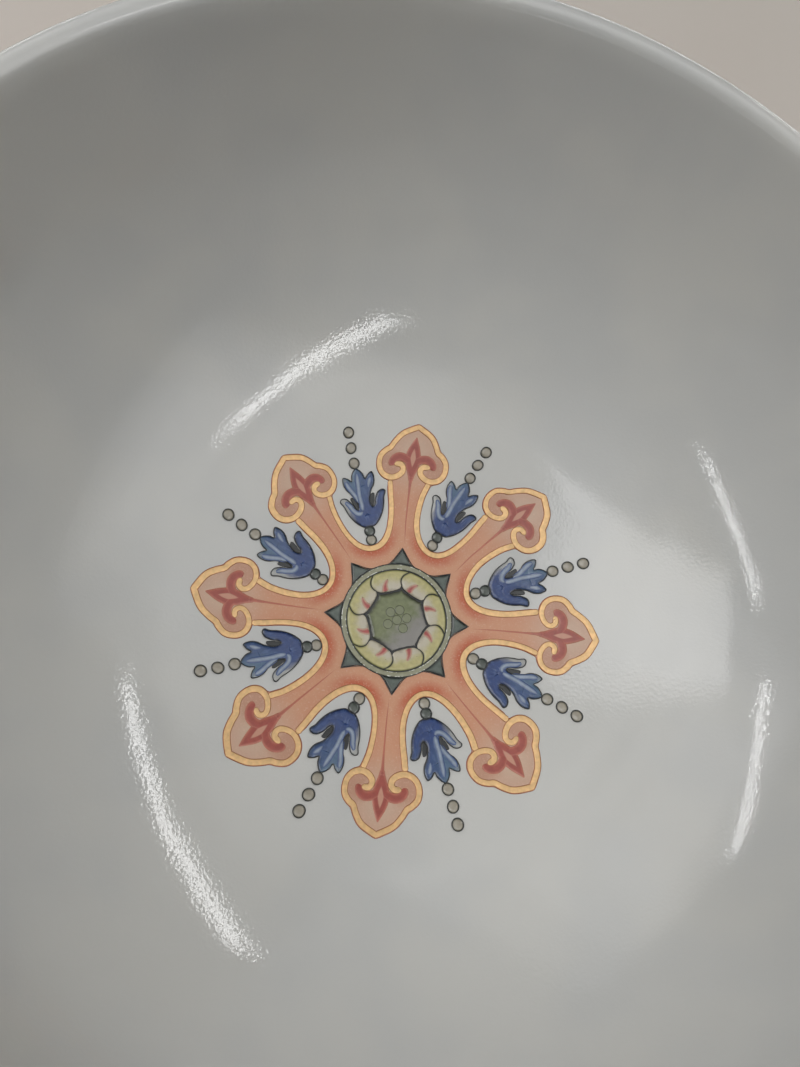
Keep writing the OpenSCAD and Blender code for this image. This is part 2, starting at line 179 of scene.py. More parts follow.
def calc(tree, operation, *values):
    """One step of arithmetic on numbers or outputs."""
    node = add_node(tree, "ShaderNodeMath", {"operation": operation})
    fill(tree, node, dict(enumerate(values)))
    return node.outputs[0]


def fade(tree, value, start, end):
    """Smooth step from 0 at start to 1 at end."""
    node = add_node(tree, "ShaderNodeMapRange", {"interpolation_type": "SMOOTHSTEP"}, Value=value)
    fill(tree, node, {"From Min": start, "From Max": end})
    return node.outputs["Result"]


def mixed(tree, share, one, other):
    """Colour that goes from one, at a share of 0, to the other, at 1."""
    node = add_node(tree, "ShaderNodeMix", {"data_type": "RGBA"})
    fill(tree, node, {0: share, 6: one, 7: other})
    return node.outputs[2]


def cloud(tree, size, detail=2.0):
    """Soft noise with blots of about a size in mm, fixed to the bowl."""
    where = add_node(tree, "ShaderNodeTexCoord").outputs["Object"]
    noise = add_node(tree, "ShaderNodeTexNoise", Vector=where, Scale=1 / (size * mm), Detail=detail)
    return noise.outputs[0]


def new_finish(name, roughness, **sockets):
    """Material with one shader, which gets plain values here and its patterns in the piece's section."""
    finish = bpy.data.materials.new(name)
    finish.use_nodes = True
    shader = finish.node_tree.nodes["Principled BSDF"]
    fill(finish.node_tree, shader, {"Roughness": roughness})
    fill(finish.node_tree, shader, {socket.replace("_", " "): value for socket, value in sockets.items()})
    return finish, finish.node_tree, shader


def add_bump(tree, shader, height):
    """Lets a height in mm bend the light on a surface."""
    bump = add_node(tree, "ShaderNodeBump", Strength=1.0, Distance=mm, Height=height)
    tree.links.new(bump.outputs[0], shader.inputs["Normal"])


under_line = depth_line(clay_out)
foot_top_in = np.interp(foot_in_r, under_line[:, 0], under_line[:, 1])
foot_top_out = np.interp(foot_out_r, under_line[:, 0], under_line[:, 1])
foot_line = np.concatenate([
    [[foot_in_r, foot_top_in]],
    [foot_in_r + foot_edge_r, foot_edge_r] + foot_edge_r * slope_point(np.linspace(-90, 0, 8)),
    [foot_out_r - foot_edge_r, foot_edge_r] + foot_edge_r * slope_point(np.linspace(0, 90, 8)),
    [[foot_out_r, foot_top_out]],
])
body_line = np.concatenate([
    under_line[under_line[:, 0] < foot_in_r],
    foot_line,
    under_line[under_line[:, 0] > foot_out_r],
    lip_line(wall_t / 2)[::-1],
    depth_line(clay_in)[::-1],
])
clay, tree, shader = new_finish("fired_clay", 0.75)
grit = cloud(tree, 0.35, 3.0)
iron = fade(tree, cloud(tree, 0.8, 2.0), 0.66, 0.74)
bisque = mixed(tree, cloud(tree, 4.0), paint(214, 205, 190), paint(226, 219, 207))
tree.links.new(mixed(tree, iron, bisque, paint(166, 132, 100)), shader.inputs["Base Color"])
add_bump(tree, shader, calc(tree, "MULTIPLY", grit, 0.03))
add_piece("porcelain_body", clay, ["porcelain_body"], [lathe(body_line)])

# White glaze of the inside and the lip
# Clear glaze with a faint grey-blue cast, poured inside and run over the lip.
# Its skin has a fine orange-peel ripple, broad soft waves and a few dark specks.
peel = 0.5
wave = 16.0
speck_spacing = 11.0
speck_share = 0.016
ripple = bpy.data.node_groups.new("glaze_ripple", "ShaderNodeTree")
ripple.interface.new_socket("Fine", in_out="INPUT", socket_type="NodeSocketFloat")
ripple.interface.new_socket("Broad", in_out="INPUT", socket_type="NodeSocketFloat")
ripple.interface.new_socket("Height", in_out="OUTPUT", socket_type="NodeSocketFloat")
depths = ripple.nodes.new("NodeGroupInput").outputs
fine = calc(ripple, "MULTIPLY", cloud(ripple, peel, 1.0), depths["Fine"])
broad = calc(ripple, "MULTIPLY", cloud(ripple, wave, 1.0), depths["Broad"])
waves = ripple.nodes.new("NodeGroupOutput")
ripple.links.new(calc(ripple, "ADD", fine, broad), waves.inputs["Height"])


def add_ripple(tree, shader, fine, broad):
    """Places the glaze ripple in a material, with its two depths in mm."""
    node = add_node(tree, "ShaderNodeGroup", {"node_tree": ripple}, Fine=fine, Broad=broad)
    add_bump(tree, shader, node.outputs["Height"])


def new_glaze(name, roughness):
    """White glaze: two near whites in soft clouds, with a few specks where a cell's middle is near."""
    finish, tree, shader = new_finish(name, roughness)
    where = add_node(tree, "ShaderNodeTexCoord").outputs["Object"]
    cells = add_node(tree, "ShaderNodeTexVoronoi", Vector=where, Scale=1 / (speck_spacing * mm))
    chosen = add_node(tree, "ShaderNodeSeparateColor", Color=cells.outputs["Color"]).outputs[0]
    speck_r = calc(tree, "MULTIPLY", fade(tree, chosen, 0.72, 1.0), speck_share)
    speck = fade(tree, cells.outputs["Distance"], speck_r, calc(tree, "MULTIPLY", speck_r, 0.4))
    white = mixed(tree, fade(tree, cloud(tree, 22.0), 0.35, 0.65), paint(210, 211, 209), paint(216, 216, 212))
    tree.links.new(mixed(tree, speck, white, paint(92, 88, 80)), shader.inputs["Base Color"])
    add_ripple(tree, shader, fine=0.015, broad=0.15)
    return finish


inner_line = np.concatenate([
    depth_line(clay_in),
    lip_line(wall_t / 2),
    lip_c + np.array([[wall_t / 2], [lip_half_t]]) * slope_point(lip_slope),
    lip_line(lip_half_t)[::-1],
    depth_line(0)[::-1],
])
white_glaze = new_glaze("white_glaze", roughness=0.06)
add_piece("inner_glaze", white_glaze, ["inner_glaze"], [lathe(inner_line, 288)])

# White glaze of the outside and the base
# The same glaze, dipped. It gathers in the corner above the foot ring and ends in a rolled edge
# on both sides of the ring. Outside it carries the enamel ground, inside the ring it stays bare.
bare_h = 1.8
gather = 1.4


def foot_glaze(foot_r, side):
    """Glaze down one side of the foot: the underside, a round corner, the wall of the foot and a rolled end.

    The corner is a curve whose slope turns evenly from the underside into the wall."""
    skin_r = foot_r + side * glaze_t
    under = depth_line(glaze_out)
    corner_z = np.interp(skin_r, under[:, 0], under[:, 1])
    start_r = skin_r + side * gather
    start = np.array([start_r, np.interp(start_r, under[:, 0], under[:, 1])])
    end = np.array([skin_r, corner_z - gather])
    share = np.linspace(0, 1, 10)[:, None]
    corner = (1 - share) ** 2 * start + 2 * share * (1 - share) * [skin_r, corner_z] + share**2 * end
    roll = [foot_r, bare_h] + glaze_t * slope_point(np.linspace(90 * side, 0, 7))
    line = np.concatenate([corner, roll, [[foot_r, corner_z]]])
    return under, depth_line(clay_out), line


under, clay_side, line = foot_glaze(foot_out_r, 1)
outer_line = np.concatenate([
    under[under[:, 0] > foot_out_r + glaze_t + gather][::-1],
    line,
    clay_side[clay_side[:, 0] > foot_out_r],
])
add_piece("outer_glaze", white_glaze, ["outer_glaze"], [lathe(outer_line)])
under, clay_side, line = foot_glaze(foot_in_r, -1)
base_line = np.concatenate([
    under[under[:, 0] < foot_in_r - glaze_t - gather],
    line,
    clay_side[clay_side[:, 0] < foot_in_r][::-1],
])
add_piece("base_glaze", white_glaze, ["base_glaze"], [lathe(base_line, 160)])

# Scratched ground of the outside
# Rose enamel brushed over the outside glaze between the foot and a white margin under the lip.
# A needle then scratched a close feathery scroll through it, down to the pale glaze.
ground_t = 0.2
ground_drop = 3.0
ground_edge = 0.3
ground_sink = 0.05
outside = depth_line(glaze_out)
outside_run = np.concatenate([[0], np.cumsum(np.hypot(*np.diff(outside, axis=0).T))])
ground_low = np.interp(foot_out_r + glaze_t + gather, outside[:, 0], outside_run)
ground_high = np.interp(bowl_h - ground_drop, outside[:, 1], outside_run)


def on_wall(run, angle, lift):
    """Point of the outside at a run up its profile and an angle round the axis, lifted off along its normal."""
    slope = np.radians(np.interp(run, outside_run, slopes))
    radius = np.interp(run, outside_run, outside[:, 0]) + lift * np.sin(slope)
    height = np.interp(run, outside_run, outside[:, 1]) - lift * np.cos(slope)
    return np.stack([radius * np.cos(angle), radius * np.sin(angle), height], axis=-1)


def brushed_edge(angle, phase):
    """Small waver of a brushed edge in mm: a few sines that close on themselves round the bowl."""
    return 0.1 * np.sin(5 * angle + phase) + 0.07 * np.sin(13 * angle + 2 * phase) + 0.04 * np.sin(31 * angle)


angle = np.linspace(0, 2 * np.pi, 256, endpoint=False)
share = np.concatenate([[0, 0.001, 0.003, 0.007], np.linspace(0.02, 0.98, 60), [0.993, 0.997, 0.999, 1]])[:, None]
low = ground_low + brushed_edge(angle, 1.0)
high = ground_high + brushed_edge(angle, 2.3)
run = low + share * (high - low)
rounded = np.sqrt(1 - (1 - np.clip(np.minimum(run - low, high - run) / ground_edge, 0, 1)) ** 2)
ground_grid = np.concatenate([on_wall(run, angle, ground_t * rounded), on_wall(run[::-1], angle, -ground_sink)])
rose, tree, shader = new_finish("rose_ground", 0.22)
brush = cloud(tree, 2.2, 3.0)
patch = cloud(tree, 14.0)
rose_color = mixed(tree, fade(tree, patch, 0.3, 0.7), paint(188, 84, 106), paint(200, 100, 120))
tree.links.new(
    mixed(tree, fade(tree, brush, 0.45, 0.8), rose_color, paint(214, 124, 140)), shader.inputs["Base Color"]
)
add_ripple(tree, shader, fine=0.03, broad=0.15)
add_piece("sgraffito_ground", rose, ["sgraffito_ground"], [ground_grid])

# Scroll scratched in the ground
# Rows of curled fronds, each a spiral stem with short barbs that lean along it.
# The needle's lines are narrow and end in points, and show the pale glaze below.
frond = 8.6
row_share = 0.86
frond_turn = 2.9 * np.pi
needle_w = 0.24
ridge_h = 0.02
scratch_lift = ground_t + 0.012


def frond_reach(along):
    """Radius of a frond's stem at a share of its length, which shrinks evenly."""
    return 0.42 * (1 - along) ** 0.8 + 0.03


def frond_lines():
    """Lines of one frond in units of its size, as a spiral stem and its barbs.

    The stem turns evenly as it shrinks. A barb leaves the stem outward and bends along it."""
    along = np.linspace(0, 1, 15)
    turn = frond_turn * along
    stem = np.stack([frond_reach(along) * np.cos(turn), frond_reach(along) * np.sin(turn)], axis=-1)
    root = np.linspace(0.02, 0.62, 10)[:, None]
    share = np.linspace(0, 1, 5)
    barb_reach = frond_reach(root) + (0.2 - 0.16 * root) * share
    barb_turn = frond_turn * root + 0.75 * share**2
    barbs = np.stack([barb_reach * np.cos(barb_turn), barb_reach * np.sin(barb_turn)], axis=-1)
    return stem[None], barbs


def scratched(lines, middle_run, middle_angle, size, flip, turn):
    """Needle lines laid on the wall at many places: each line widens from a point and narrows to a point again.

    The cross section is a low ridge of three points, and a place is a run up the wall and an angle."""
    x = size * flip * (lines[..., 0] * np.cos(turn) - lines[..., 1] * np.sin(turn))
    y = size * (lines[..., 0] * np.sin(turn) + lines[..., 1] * np.cos(turn))
    along_x = np.gradient(x, axis=-1)
    along_y = np.gradient(y, axis=-1)
    length = np.hypot(along_x, along_y)
    taper = np.sin(np.pi * np.linspace(0, 1, lines.shape[-2])) ** 0.5
    taper[[0, -1]] = 0
    side = np.array([-0.5, 0, 0.5]) * needle_w
    out_x = x[..., None] - side * (along_y / length * taper)[..., None]
    out_y = y[..., None] + side * (along_x / length * taper)[..., None]
    lift = scratch_lift + np.array([0, ridge_h, 0]) * taper[:, None]
    place_run = middle_run[..., None] + out_y
    radius = np.interp(place_run, outside_run, outside[:, 0])
    return on_wall(place_run, middle_angle[..., None] + out_x / radius, lift)


rows = int((ground_high - ground_low) / (row_share * frond))
row_runs = ground_low + (np.arange(rows) + 0.5) * (ground_high - ground_low) / rows
row_counts = np.round(2 * np.pi * np.interp(row_runs, outside_run, outside[:, 0]) / frond).astype(int)
frond_row = np.repeat(np.arange(rows), row_counts)
frond_place = np.concatenate([np.arange(count) for count in row_counts])
frond_angle = 2 * np.pi * (frond_place + 0.5 * (frond_row % 2)) / row_counts[frond_row]
in_row, at_angle, in_turn = (each[:, None, None] for each in (frond_row, frond_angle, frond_place))
flip = np.where((in_turn + in_row) % 2, 1.0, -1.0)
turn = np.where(in_turn % 2, 0.6, -2.4) + 0.25 * np.sin(2.1 * in_turn + in_row)
scroll = [scratched(lines, row_runs[in_row], at_angle, frond, flip, turn) for lines in frond_lines()]
bared, tree, shader = new_finish("bared_glaze", 0.3)
tree.links.new(
    mixed(tree, cloud(tree, 1.2), paint(224, 186, 188), paint(238, 214, 212)), shader.inputs["Base Color"]
)
add_ripple(tree, shader, fine=0.02, broad=0.0)
add_piece("scratched_scroll", bared, ["sgraffito_ground"], scroll)

# Coral wash of the eight arms
# Thin coral red, washed over the whole rosette before anything else, and lighter towards the heads.
# The painter's hand shows: the arms lean and reach a little differently.
arms = 8
rosette_turn = -8.9
arm_leans = [0.8, 1.4, 0.5, -0.8, -1.3, -0.6, -0.1, -1.3]
bay_leans = [1.2, 0.9, 0.4, -1.4, 0.1, -0.5, -0.3, 0.1]
arm_reaches = [-0.7, 0.4, 1.4, 1.8, -0.2, 1.3, -0.7, -2.5]
bay_reaches = [-0.1, 2.3, 1.2, 0.4, 1.0, -1.5, -1.9, -1.7]
arm_step = 360 / arms
half_step = arm_step / 2
leans = np.stack([arm_leans, bay_leans], axis=1).ravel()
reaches = np.stack([arm_reaches, bay_reaches], axis=1).ravel()


def eased(share):
    """Smooth step: three squares less two cubes of a share between 0 and 1."""
    share = np.clip(share, 0, 1)
    return share * share * (3 - 2 * share)


def turned(points, degrees):
    """Points turned clockwise round the axis."""
    angle = np.radians(degrees)
    x = points[..., 0] * np.cos(angle) + points[..., 1] * np.sin(angle)
    y = points[..., 1] * np.cos(angle) - points[..., 0] * np.sin(angle)
    return np.stack([x, y], axis=-1)


def painted(form, step):
    """Lays a form on the floor's glaze at an arm, or between two arms at half a step more.

    The painter's drift is read round the rosette from arm to bay, and grows from the medallion outward.
    All but the heads' points also sit a little to one side.
    The floor is a ball's inside, so a point's height follows from its place and its lift."""
    points, lift, inset = form
    flat = turned(points, step * arm_step)
    radius = np.hypot(flat[..., 0], flat[..., 1])
    spot = np.degrees(np.arctan2(flat[..., 0], flat[..., 1])) % 360 / half_step
    before = np.floor(spot).astype(int) % (2 * arms)
    after = (before + 1) % (2 * arms)
    share = eased(spot - np.floor(spot))
    grown = eased((radius - 10) / 8)
    aside = 0.6 * (1 - eased((radius - 29) / 5))
    lean = grown * (aside + leans[before] * (1 - share) + leans[after] * share)
    reach = 1 + 0.01 * grown * (reaches[before] * (1 - share) + reaches[after] * share)
    flat = turned(flat * reach[..., None], -rosette_turn - lean)
    height = floor_c[1] - np.sqrt((floor_curve_r - lift) ** 2 - np.sum(flat**2, axis=-1))
    place = np.stack([points[..., 0], points[..., 1], inset], axis=-1)
    return np.concatenate([flat, height[..., None]], axis=-1), place


def smooth(points, steps=6):
    """Curve through points: between two of them, the cubic whose end slopes follow their neighbours."""
    points = np.array(points, float)
    padded = np.concatenate([points[:1], points, points[-1:]])
    a, b, c, d = (padded[i:len(padded) - 3 + i, None] for i in range(4))
    t = np.linspace(0, 1, steps, endpoint=False)[:, None]
    curve = b + (c - a) * t / 2 + (a - 2.5 * b + 2 * c - d / 2) * t**2 + (1.5 * (b - c) + (d - a) / 2) * t**3
    return np.concatenate([curve.reshape(-1, 2), points[-1:]])


def mirrored(points):
    """The same line seen in a mirror on the arm's middle, run backward."""
    return points[::-1] * [-1, 1]


def evened(outline, spacing):
    """Closed outline with points at even steps, each drawn twice towards its neighbours, which eases corners."""
    loop = np.concatenate([outline, outline[:1]])
    run = np.concatenate([[0], np.cumsum(np.linalg.norm(np.diff(loop, axis=0), axis=1))])
    at = np.linspace(0, run[-1], int(run[-1] / spacing), endpoint=False)
    even = np.stack([np.interp(at, run, loop[:, 0]), np.interp(at, run, loop[:, 1])], axis=-1)
    for _ in range(2):
        even = even / 2 + (np.roll(even, 1, axis=0) + np.roll(even, -1, axis=0)) / 4
    return even


def domed(outline, inward, depth, share, base, height, edge):
    """Dome over an outline whose points move inward by shares of their depth.

    Its height follows the distance from the outline: a quarter round as wide as the edge, then level.
    What goes past the middle dips under the other side. A flatter copy of the dome closes it below."""
    share = np.concatenate([share, share[::-1]])
    inset = depth * share
    points = outline[:, None] + inset[..., None] * inward[:, None]
    round_w = np.minimum(edge, depth)
    dome = np.sqrt(1 - (1 - np.minimum(1, inset / round_w)) ** 2) * np.minimum(1, 2 * depth / edge)
    dome = dome - 0.5 * np.maximum(0, share - 1)
    return points, base + height * dome * np.repeat([1, -0.3], len(share) // 2), inset


def pillow(outline, base, height, edge, spacing=0.2, levels=8):
    """Domed coat inside a closed outline.

    Every outline point moves inward to the middle of the widest circle that touches the outline there
    and stays inside, and a little past it."""
    area = np.sum(outline[:, 0] * np.roll(outline[:, 1], -1) - outline[:, 1] * np.roll(outline[:, 0], -1))
    outline = evened(outline if area > 0 else outline[::-1], spacing)
    along = np.roll(outline, -1, axis=0) - np.roll(outline, 1, axis=0)
    inward = np.stack([-along[:, 1], along[:, 0]], axis=-1) / np.linalg.norm(along, axis=1, keepdims=True)
    chord = outline[None] - outline[:, None]
    toward = np.sum(chord * inward[:, None], axis=-1)
    circle_r = np.where(toward > 1e-6, np.sum(chord**2, axis=-1) / np.maximum(2 * toward, 1e-9), np.inf)
    depth = circle_r.min(axis=1)[:, None]
    return domed(outline, inward, depth, np.append(np.linspace(0, 1, levels) ** 1.7, 1.15), base, height, edge)


def drop(outline, base, height, edge, levels=8):
    """Domed coat of a round form: every outline point moves straight to the middle."""
    inward = outline.mean(axis=0) - outline
    depth = np.linalg.norm(inward, axis=1)[:, None]
    return domed(outline, inward / depth, depth, np.linspace(0, 1, levels) ** 1.7, base, height, edge)


def stroke(path, half_width, base, height, closed=False, sides=16):
    """Brush line: a flat cross section with round sides carried along a path, as wide as the brush was pressed.

    The section is an oval whose sine and cosine are drawn out to their square roots, which flattens its top.
    Its height follows its width, so that an end of no width is a point."""
    half_width = np.broadcast_to(half_width, len(path))[:, None]
    if closed:
        along = np.roll(path, -1, axis=0) - np.roll(path, 1, axis=0)
    else:
        along = np.gradient(path, axis=0)
    across = np.stack([-along[:, 1], along[:, 0]], axis=-1) / np.linalg.norm(along, axis=1, keepdims=True)
    angle = np.linspace(0, 2 * np.pi, sides, endpoint=False)
    sideways = np.sign(np.cos(angle)) * np.sqrt(np.abs(np.cos(angle)))
    upward = np.sign(np.sin(angle)) * np.sqrt(np.abs(np.sin(angle)))
    points = path[:, None] + (half_width * sideways)[..., None] * across[:, None]
    lift = base + height * half_width / half_width.max() * upward
    return points, lift, half_width * (1 - np.abs(sideways))


def blunt(path, width, start, end):
    """Half widths along a path that run out to nothing at its ends, round over the given lengths."""
    run = np.concatenate([[0], np.cumsum(np.linalg.norm(np.diff(path, axis=0), axis=1))])
    near = np.minimum(run / start, (run[-1] - run) / end)
    return width / 2 * np.sqrt(1 - (1 - np.clip(near, 0, 1)) ** 2)


def paint_place(tree):
    """Place on the painting before it was laid on the floor, as across, along and inset."""
    place = add_node(tree, "ShaderNodeAttribute", {"attribute_name": "place"}).outputs["Vector"]
    return add_node(tree, "ShaderNodeSeparateXYZ", Vector=place).outputs


def paint_radius(tree):
    """Distance of a place on the painting from the rosette's middle."""
    across, along, _ = paint_place(tree)
    out = add_node(tree, "ShaderNodeCombineXYZ", X=across, Y=along).outputs[0]
    return add_node(tree, "ShaderNodeVectorMath", {"operation": "LENGTH"}, Vector=out).outputs["Value"]


def add_painted(name, finish, nodes, forms):
    """A painted piece from forms, each with the arm or bay that it lies at."""
    surfaces, places = zip(*(painted(form, step) for form, step in forms))
    add_piece(name, finish, nodes, surfaces, places)


# Half of the gold line round a head, from its point over the foot of its side lobe to the curl inside
head_steps = 6
head_half = smooth([
    [0, 34], [2.5, 32.65], [3.7, 31.2], [4.4, 29.95], [5.15, 29.4], [6, 28.4], [6.2, 27.2],
    [5.9, 26], [5, 25.1], [3.7, 24.8], [2.55, 25.15], [1.75, 25.85], [1.6, 26.6], [2.05, 27.2], [2.75, 27.2],
    [3, 26.8],
], head_steps)
lobe_foot = 9 * head_steps
# Gold line round the inner end of a bay: rounder than a parabola and a little to one side
bay_half_w = 6.05
bay_low_r = 13.06
bay_run = 11.26
bay_round = 0.38
swing = np.linspace(-1, 1, 61)
bay_aside = -0.45 + 0.25 * eased((np.abs(swing) - 0.85) / 0.15)
bay_across = bay_half_w * swing * (1 + bay_round * (1 - swing * swing)) + bay_aside
bay_line = np.stack([bay_across, bay_low_r + bay_run * swing * swing], axis=-1)


def moved(path, distance):
    """A path moved to its left by a distance."""
    along = np.gradient(path, axis=0)
    across = np.stack([-along[:, 1], along[:, 0]], axis=-1) / np.linalg.norm(along, axis=1, keepdims=True)
    return path + distance * across


wash_past_gold = 0.62
bay_middle = len(bay_line) // 2
head_line = np.concatenate([mirrored(head_half), head_half[1:]])
head_edge = moved(head_line, wash_past_gold)[len(head_half) - 1:][:lobe_foot]
bay_edge = moved(bay_line, wash_past_gold)
arm_edge = np.concatenate([
    turned(bay_edge[bay_middle:-2], -half_step),
    mirrored(head_edge)[:-1],
    head_edge,
    turned(bay_edge[2:bay_middle], half_step),
])
wash_edge = np.concatenate([turned(arm_edge, arm_step * k) for k in range(arms)])
wash, tree, shader = new_finish("coral_wash", 0.3)
across, along, inset = paint_place(tree)
radius = paint_radius(tree)
streak = cloud(tree, 0.9, 3.0)
near_gold = fade(tree, calc(tree, "MULTIPLY_ADD", streak, 0.6, inset), 3.5, 1.4)
near_star = fade(tree, radius, 17.5, 12.4)
deep = calc(tree, "MULTIPLY", near_gold, calc(tree, "MULTIPLY_ADD", near_star, 0.9, 0.1))
pale = mixed(tree, fade(tree, radius, 20.0, 29.0), paint(217, 157, 122), paint(212, 179, 155))
coral = mixed(tree, deep, pale, paint(198, 94, 54))
from_arm = calc(tree, "PINGPONG", calc(tree, "ARCTAN2", across, along), math.radians(half_step))
side = calc(tree, "MULTIPLY", radius, calc(tree, "SINE", from_arm))
lobe = calc(tree, "MULTIPLY", fade(tree, radius, 24.6, 25.6), fade(tree, radius, 30.5, 28.5))
in_lobe = calc(tree, "MULTIPLY", lobe, fade(tree, inset, 0.7, 1.3))
shaded = mixed(tree, calc(tree, "MULTIPLY", in_lobe, fade(tree, side, 1.6, 3.2)), coral, paint(200, 152, 126))
speckled = mixed(tree, fade(tree, cloud(tree, 0.3, 1.0), 0.5, 1.1), shaded, paint(228, 192, 168))
outer_red = mixed(tree, fade(tree, inset, 0.2, 0.05), speckled, paint(160, 84, 56))
tree.links.new(outer_red, shader.inputs["Base Color"])
add_ripple(tree, shader, fine=0.02, broad=0.2)
wash_form = pillow(wash_edge, base=0, height=0.06, edge=0.2, spacing=0.22, levels=12)
add_painted("coral_wash", wash, ["coral_wash"], [(wash_form, 0)])

# Gold lines of the heads and the bays
# Ground gold laid with a full brush and burnished a little, over a red-brown line that shows at its edges.
# One line goes round each head and curls in, and one lines each bay.
pool = bpy.data.node_groups.new("enamel_pool", "ShaderNodeTree")
for socket, kind in (("Edge", "Color"), ("Middle", "Color"), ("Reach", "Float"), ("Mottle", "Float")):
    pool.interface.new_socket(socket, in_out="INPUT", socket_type="NodeSocket" + kind)
pool.interface.new_socket("Color", in_out="OUTPUT", socket_type="NodeSocketColor")
given = pool.nodes.new("NodeGroupInput").outputs
inset = paint_place(pool)[2]
pooled = mixed(pool, fade(pool, inset, 0.0, given["Reach"]), given["Edge"], given["Middle"])
blots = calc(pool, "MULTIPLY_ADD", cloud(pool, 0.8, 3.0), 2.0, -1.0)
light = calc(pool, "MULTIPLY_ADD", blots, given["Mottle"], 1.0)
mottled = add_node(pool, "ShaderNodeHueSaturation", Color=pooled, Value=light).outputs[0]
pool.links.new(mottled, pool.nodes.new("NodeGroupOutput").inputs["Color"])


def new_enamel(name, edge, middle, reach, mottle, roughness=0.2, **sockets):
    """Painted enamel: one colour at the outline, another from a reach in mm inward, mottled and rippled."""
    finish, tree, shader = new_finish(name, roughness, **sockets)
    node = add_node(tree, "ShaderNodeGroup", {"node_tree": pool}, Edge=edge, Middle=middle)
    fill(tree, node, {"Reach": reach, "Mottle": mottle})
    tree.links.new(node.outputs["Color"], shader.inputs["Base Color"])
    add_ripple(tree, shader, fine=0.02, broad=0.1)
    return finish, tree, shader, node.outputs["Color"]


gold_w = 1.06
gold_red, gold_yellow = paint(160, 92, 52), paint(220, 181, 128)
gold = new_enamel("gold", gold_red, gold_yellow, reach=0.2, mottle=0.35, roughness=0.36, Metallic=0.3)[0]
head_widths = blunt(head_line, gold_w, start=0.35, end=0.35)
bay_widths = blunt(bay_line, gold_w, start=0.3, end=0.3)
for k in range(arms):
    pressed = 1 + 0.07 * np.sin(np.linspace(0, 9, len(head_line)) + 1.7 * k)
    form = stroke(head_line, head_widths * pressed, base=0.06, height=0.1)
    add_painted(f"gold_head_{k + 1}", gold, [f"gold_head_{k + 1}"], [(form, k)])
    pressed = 1 + 0.06 * np.sin(np.linspace(0, 7, len(bay_line)) + 2.3 * k)
    form = stroke(bay_line, bay_widths * pressed, base=0.06, height=0.09)
    add_painted(f"gold_bay_{k + 1}", gold, [f"gold_bay_{k + 1}"], [(form, k + 0.5)])

# Red lilies
# A pointed blade with a pale eye, two curled volutes and a long stem, on each arm.
# Iron red, painted wet on the coral, so its edges are soft and the stem thins to a hair.
blade_half = smooth([
    [0.4, 24.5], [0.63, 25.5], [1.02, 26.5], [1.35, 27.5], [1.5, 28.3], [1.42, 28.95], [1.15, 30],
    [0.75, 30.95], [0, 32.4],
])
blade_edge = np.concatenate([blade_half, mirrored(blade_half)[1:]])
volute = smooth([[0.4, 27.7], [1, 28.2], [1.75, 28.5], [2.6, 28.55], [3.35, 28.15], [3.75, 27.45], [3.6, 26.85]])
volute_widths = blunt(volute, width=1.5, start=0.4, end=0.6)
stem = smooth([[0, 25.6], [0, 22], [0, 18], [0, 13.2]], 8)
stem_widths = np.interp(stem[:, 1], [13.2, 16, 22, 24, 25.4, 25.6], [0, 0.09, 0.16, 0.26, 0.4, 0])
lily, tree, shader, red = new_enamel(
    "iron_red", paint(192, 118, 96), paint(166, 78, 66), reach=0.5, mottle=0.25, roughness=0.3
)
eye_half_w = 0.54
eye_half_h = 1.7
eye_middle = 28.6
eye_power = 1.3
across, along, _ = paint_place(tree)
from_middle = calc(tree, "ABSOLUTE", calc(tree, "SUBTRACT", along, eye_middle))
eye_x = calc(tree, "POWER", calc(tree, "DIVIDE", calc(tree, "ABSOLUTE", across), eye_half_w), eye_power)
eye_y = calc(tree, "POWER", calc(tree, "DIVIDE", from_middle, eye_half_h), eye_power)
eye = fade(tree, calc(tree, "ADD", eye_x, eye_y), 1.1, 0.6)
thinned = mixed(tree, fade(tree, along, 25.0, 20.0), red, paint(196, 114, 88))
tree.links.new(mixed(tree, eye, thinned, paint(208, 152, 128)), shader.inputs["Base Color"])
for k in range(arms):
    lily_forms = [
        (pillow(blade_edge, base=0.05, height=0.08, edge=0.4), k),
        (stroke(volute, volute_widths, base=0.05, height=0.09), k),
        (stroke(volute * [-1, 1], volute_widths, base=0.05, height=0.09), k),
        (stroke(stem, stem_widths, base=0.064, height=0.07), k),
    ]
    add_painted(f"red_lily_{k + 1}", lily, [f"red_lily_{k + 1}"], lily_forms)

# Dark drawing of the medallion
# Fine lines of brown-black drawn with a pen-like brush: round the star, the ring, the petals and the pod.
# They lie on a thin dark wash that shows between the colours.
star_turn = 1.6
star_foot_r = 9.7
star_tip_r = 12.6
star_half_angle = 15.5
star_hollow = 1.8
ring_out_r = 9.66
ring_in_r = 8.74
petal_out_r = 8.64
petal_middle_r = 6.88
petal_half_l = 1.68
petal_bend = 9
notch_r = 5.9
scallop_deep = 0.95
line_w = 0.15
circle_angle = np.linspace(0, 2 * np.pi, 240, endpoint=False)
unit_circle = np.stack([np.sin(circle_angle), np.cos(circle_angle)], axis=-1)


def star_radius(degrees, tip_r):
    """Edge of the star: its points stand on the ring and their sides are hollow, by a power of their nearness."""
    near = np.abs((degrees + half_step) % arm_step - half_step) / star_half_angle
    return star_foot_r + (tip_r - star_foot_r) * np.maximum(0, 1 - near) ** star_hollow


def petal_flank(radius):
    """Clockwise sweep in degrees of a petal's flank at a radius: a parabola round its middle."""
    return petal_bend * ((radius - petal_middle_r) / petal_half_l) ** 2


def polar(radius, degrees):
    """Point at a distance from the axis and an angle clockwise from the arm."""
    angle = np.radians(degrees)
    return np.stack([radius * np.sin(angle), radius * np.cos(angle)], axis=-1)


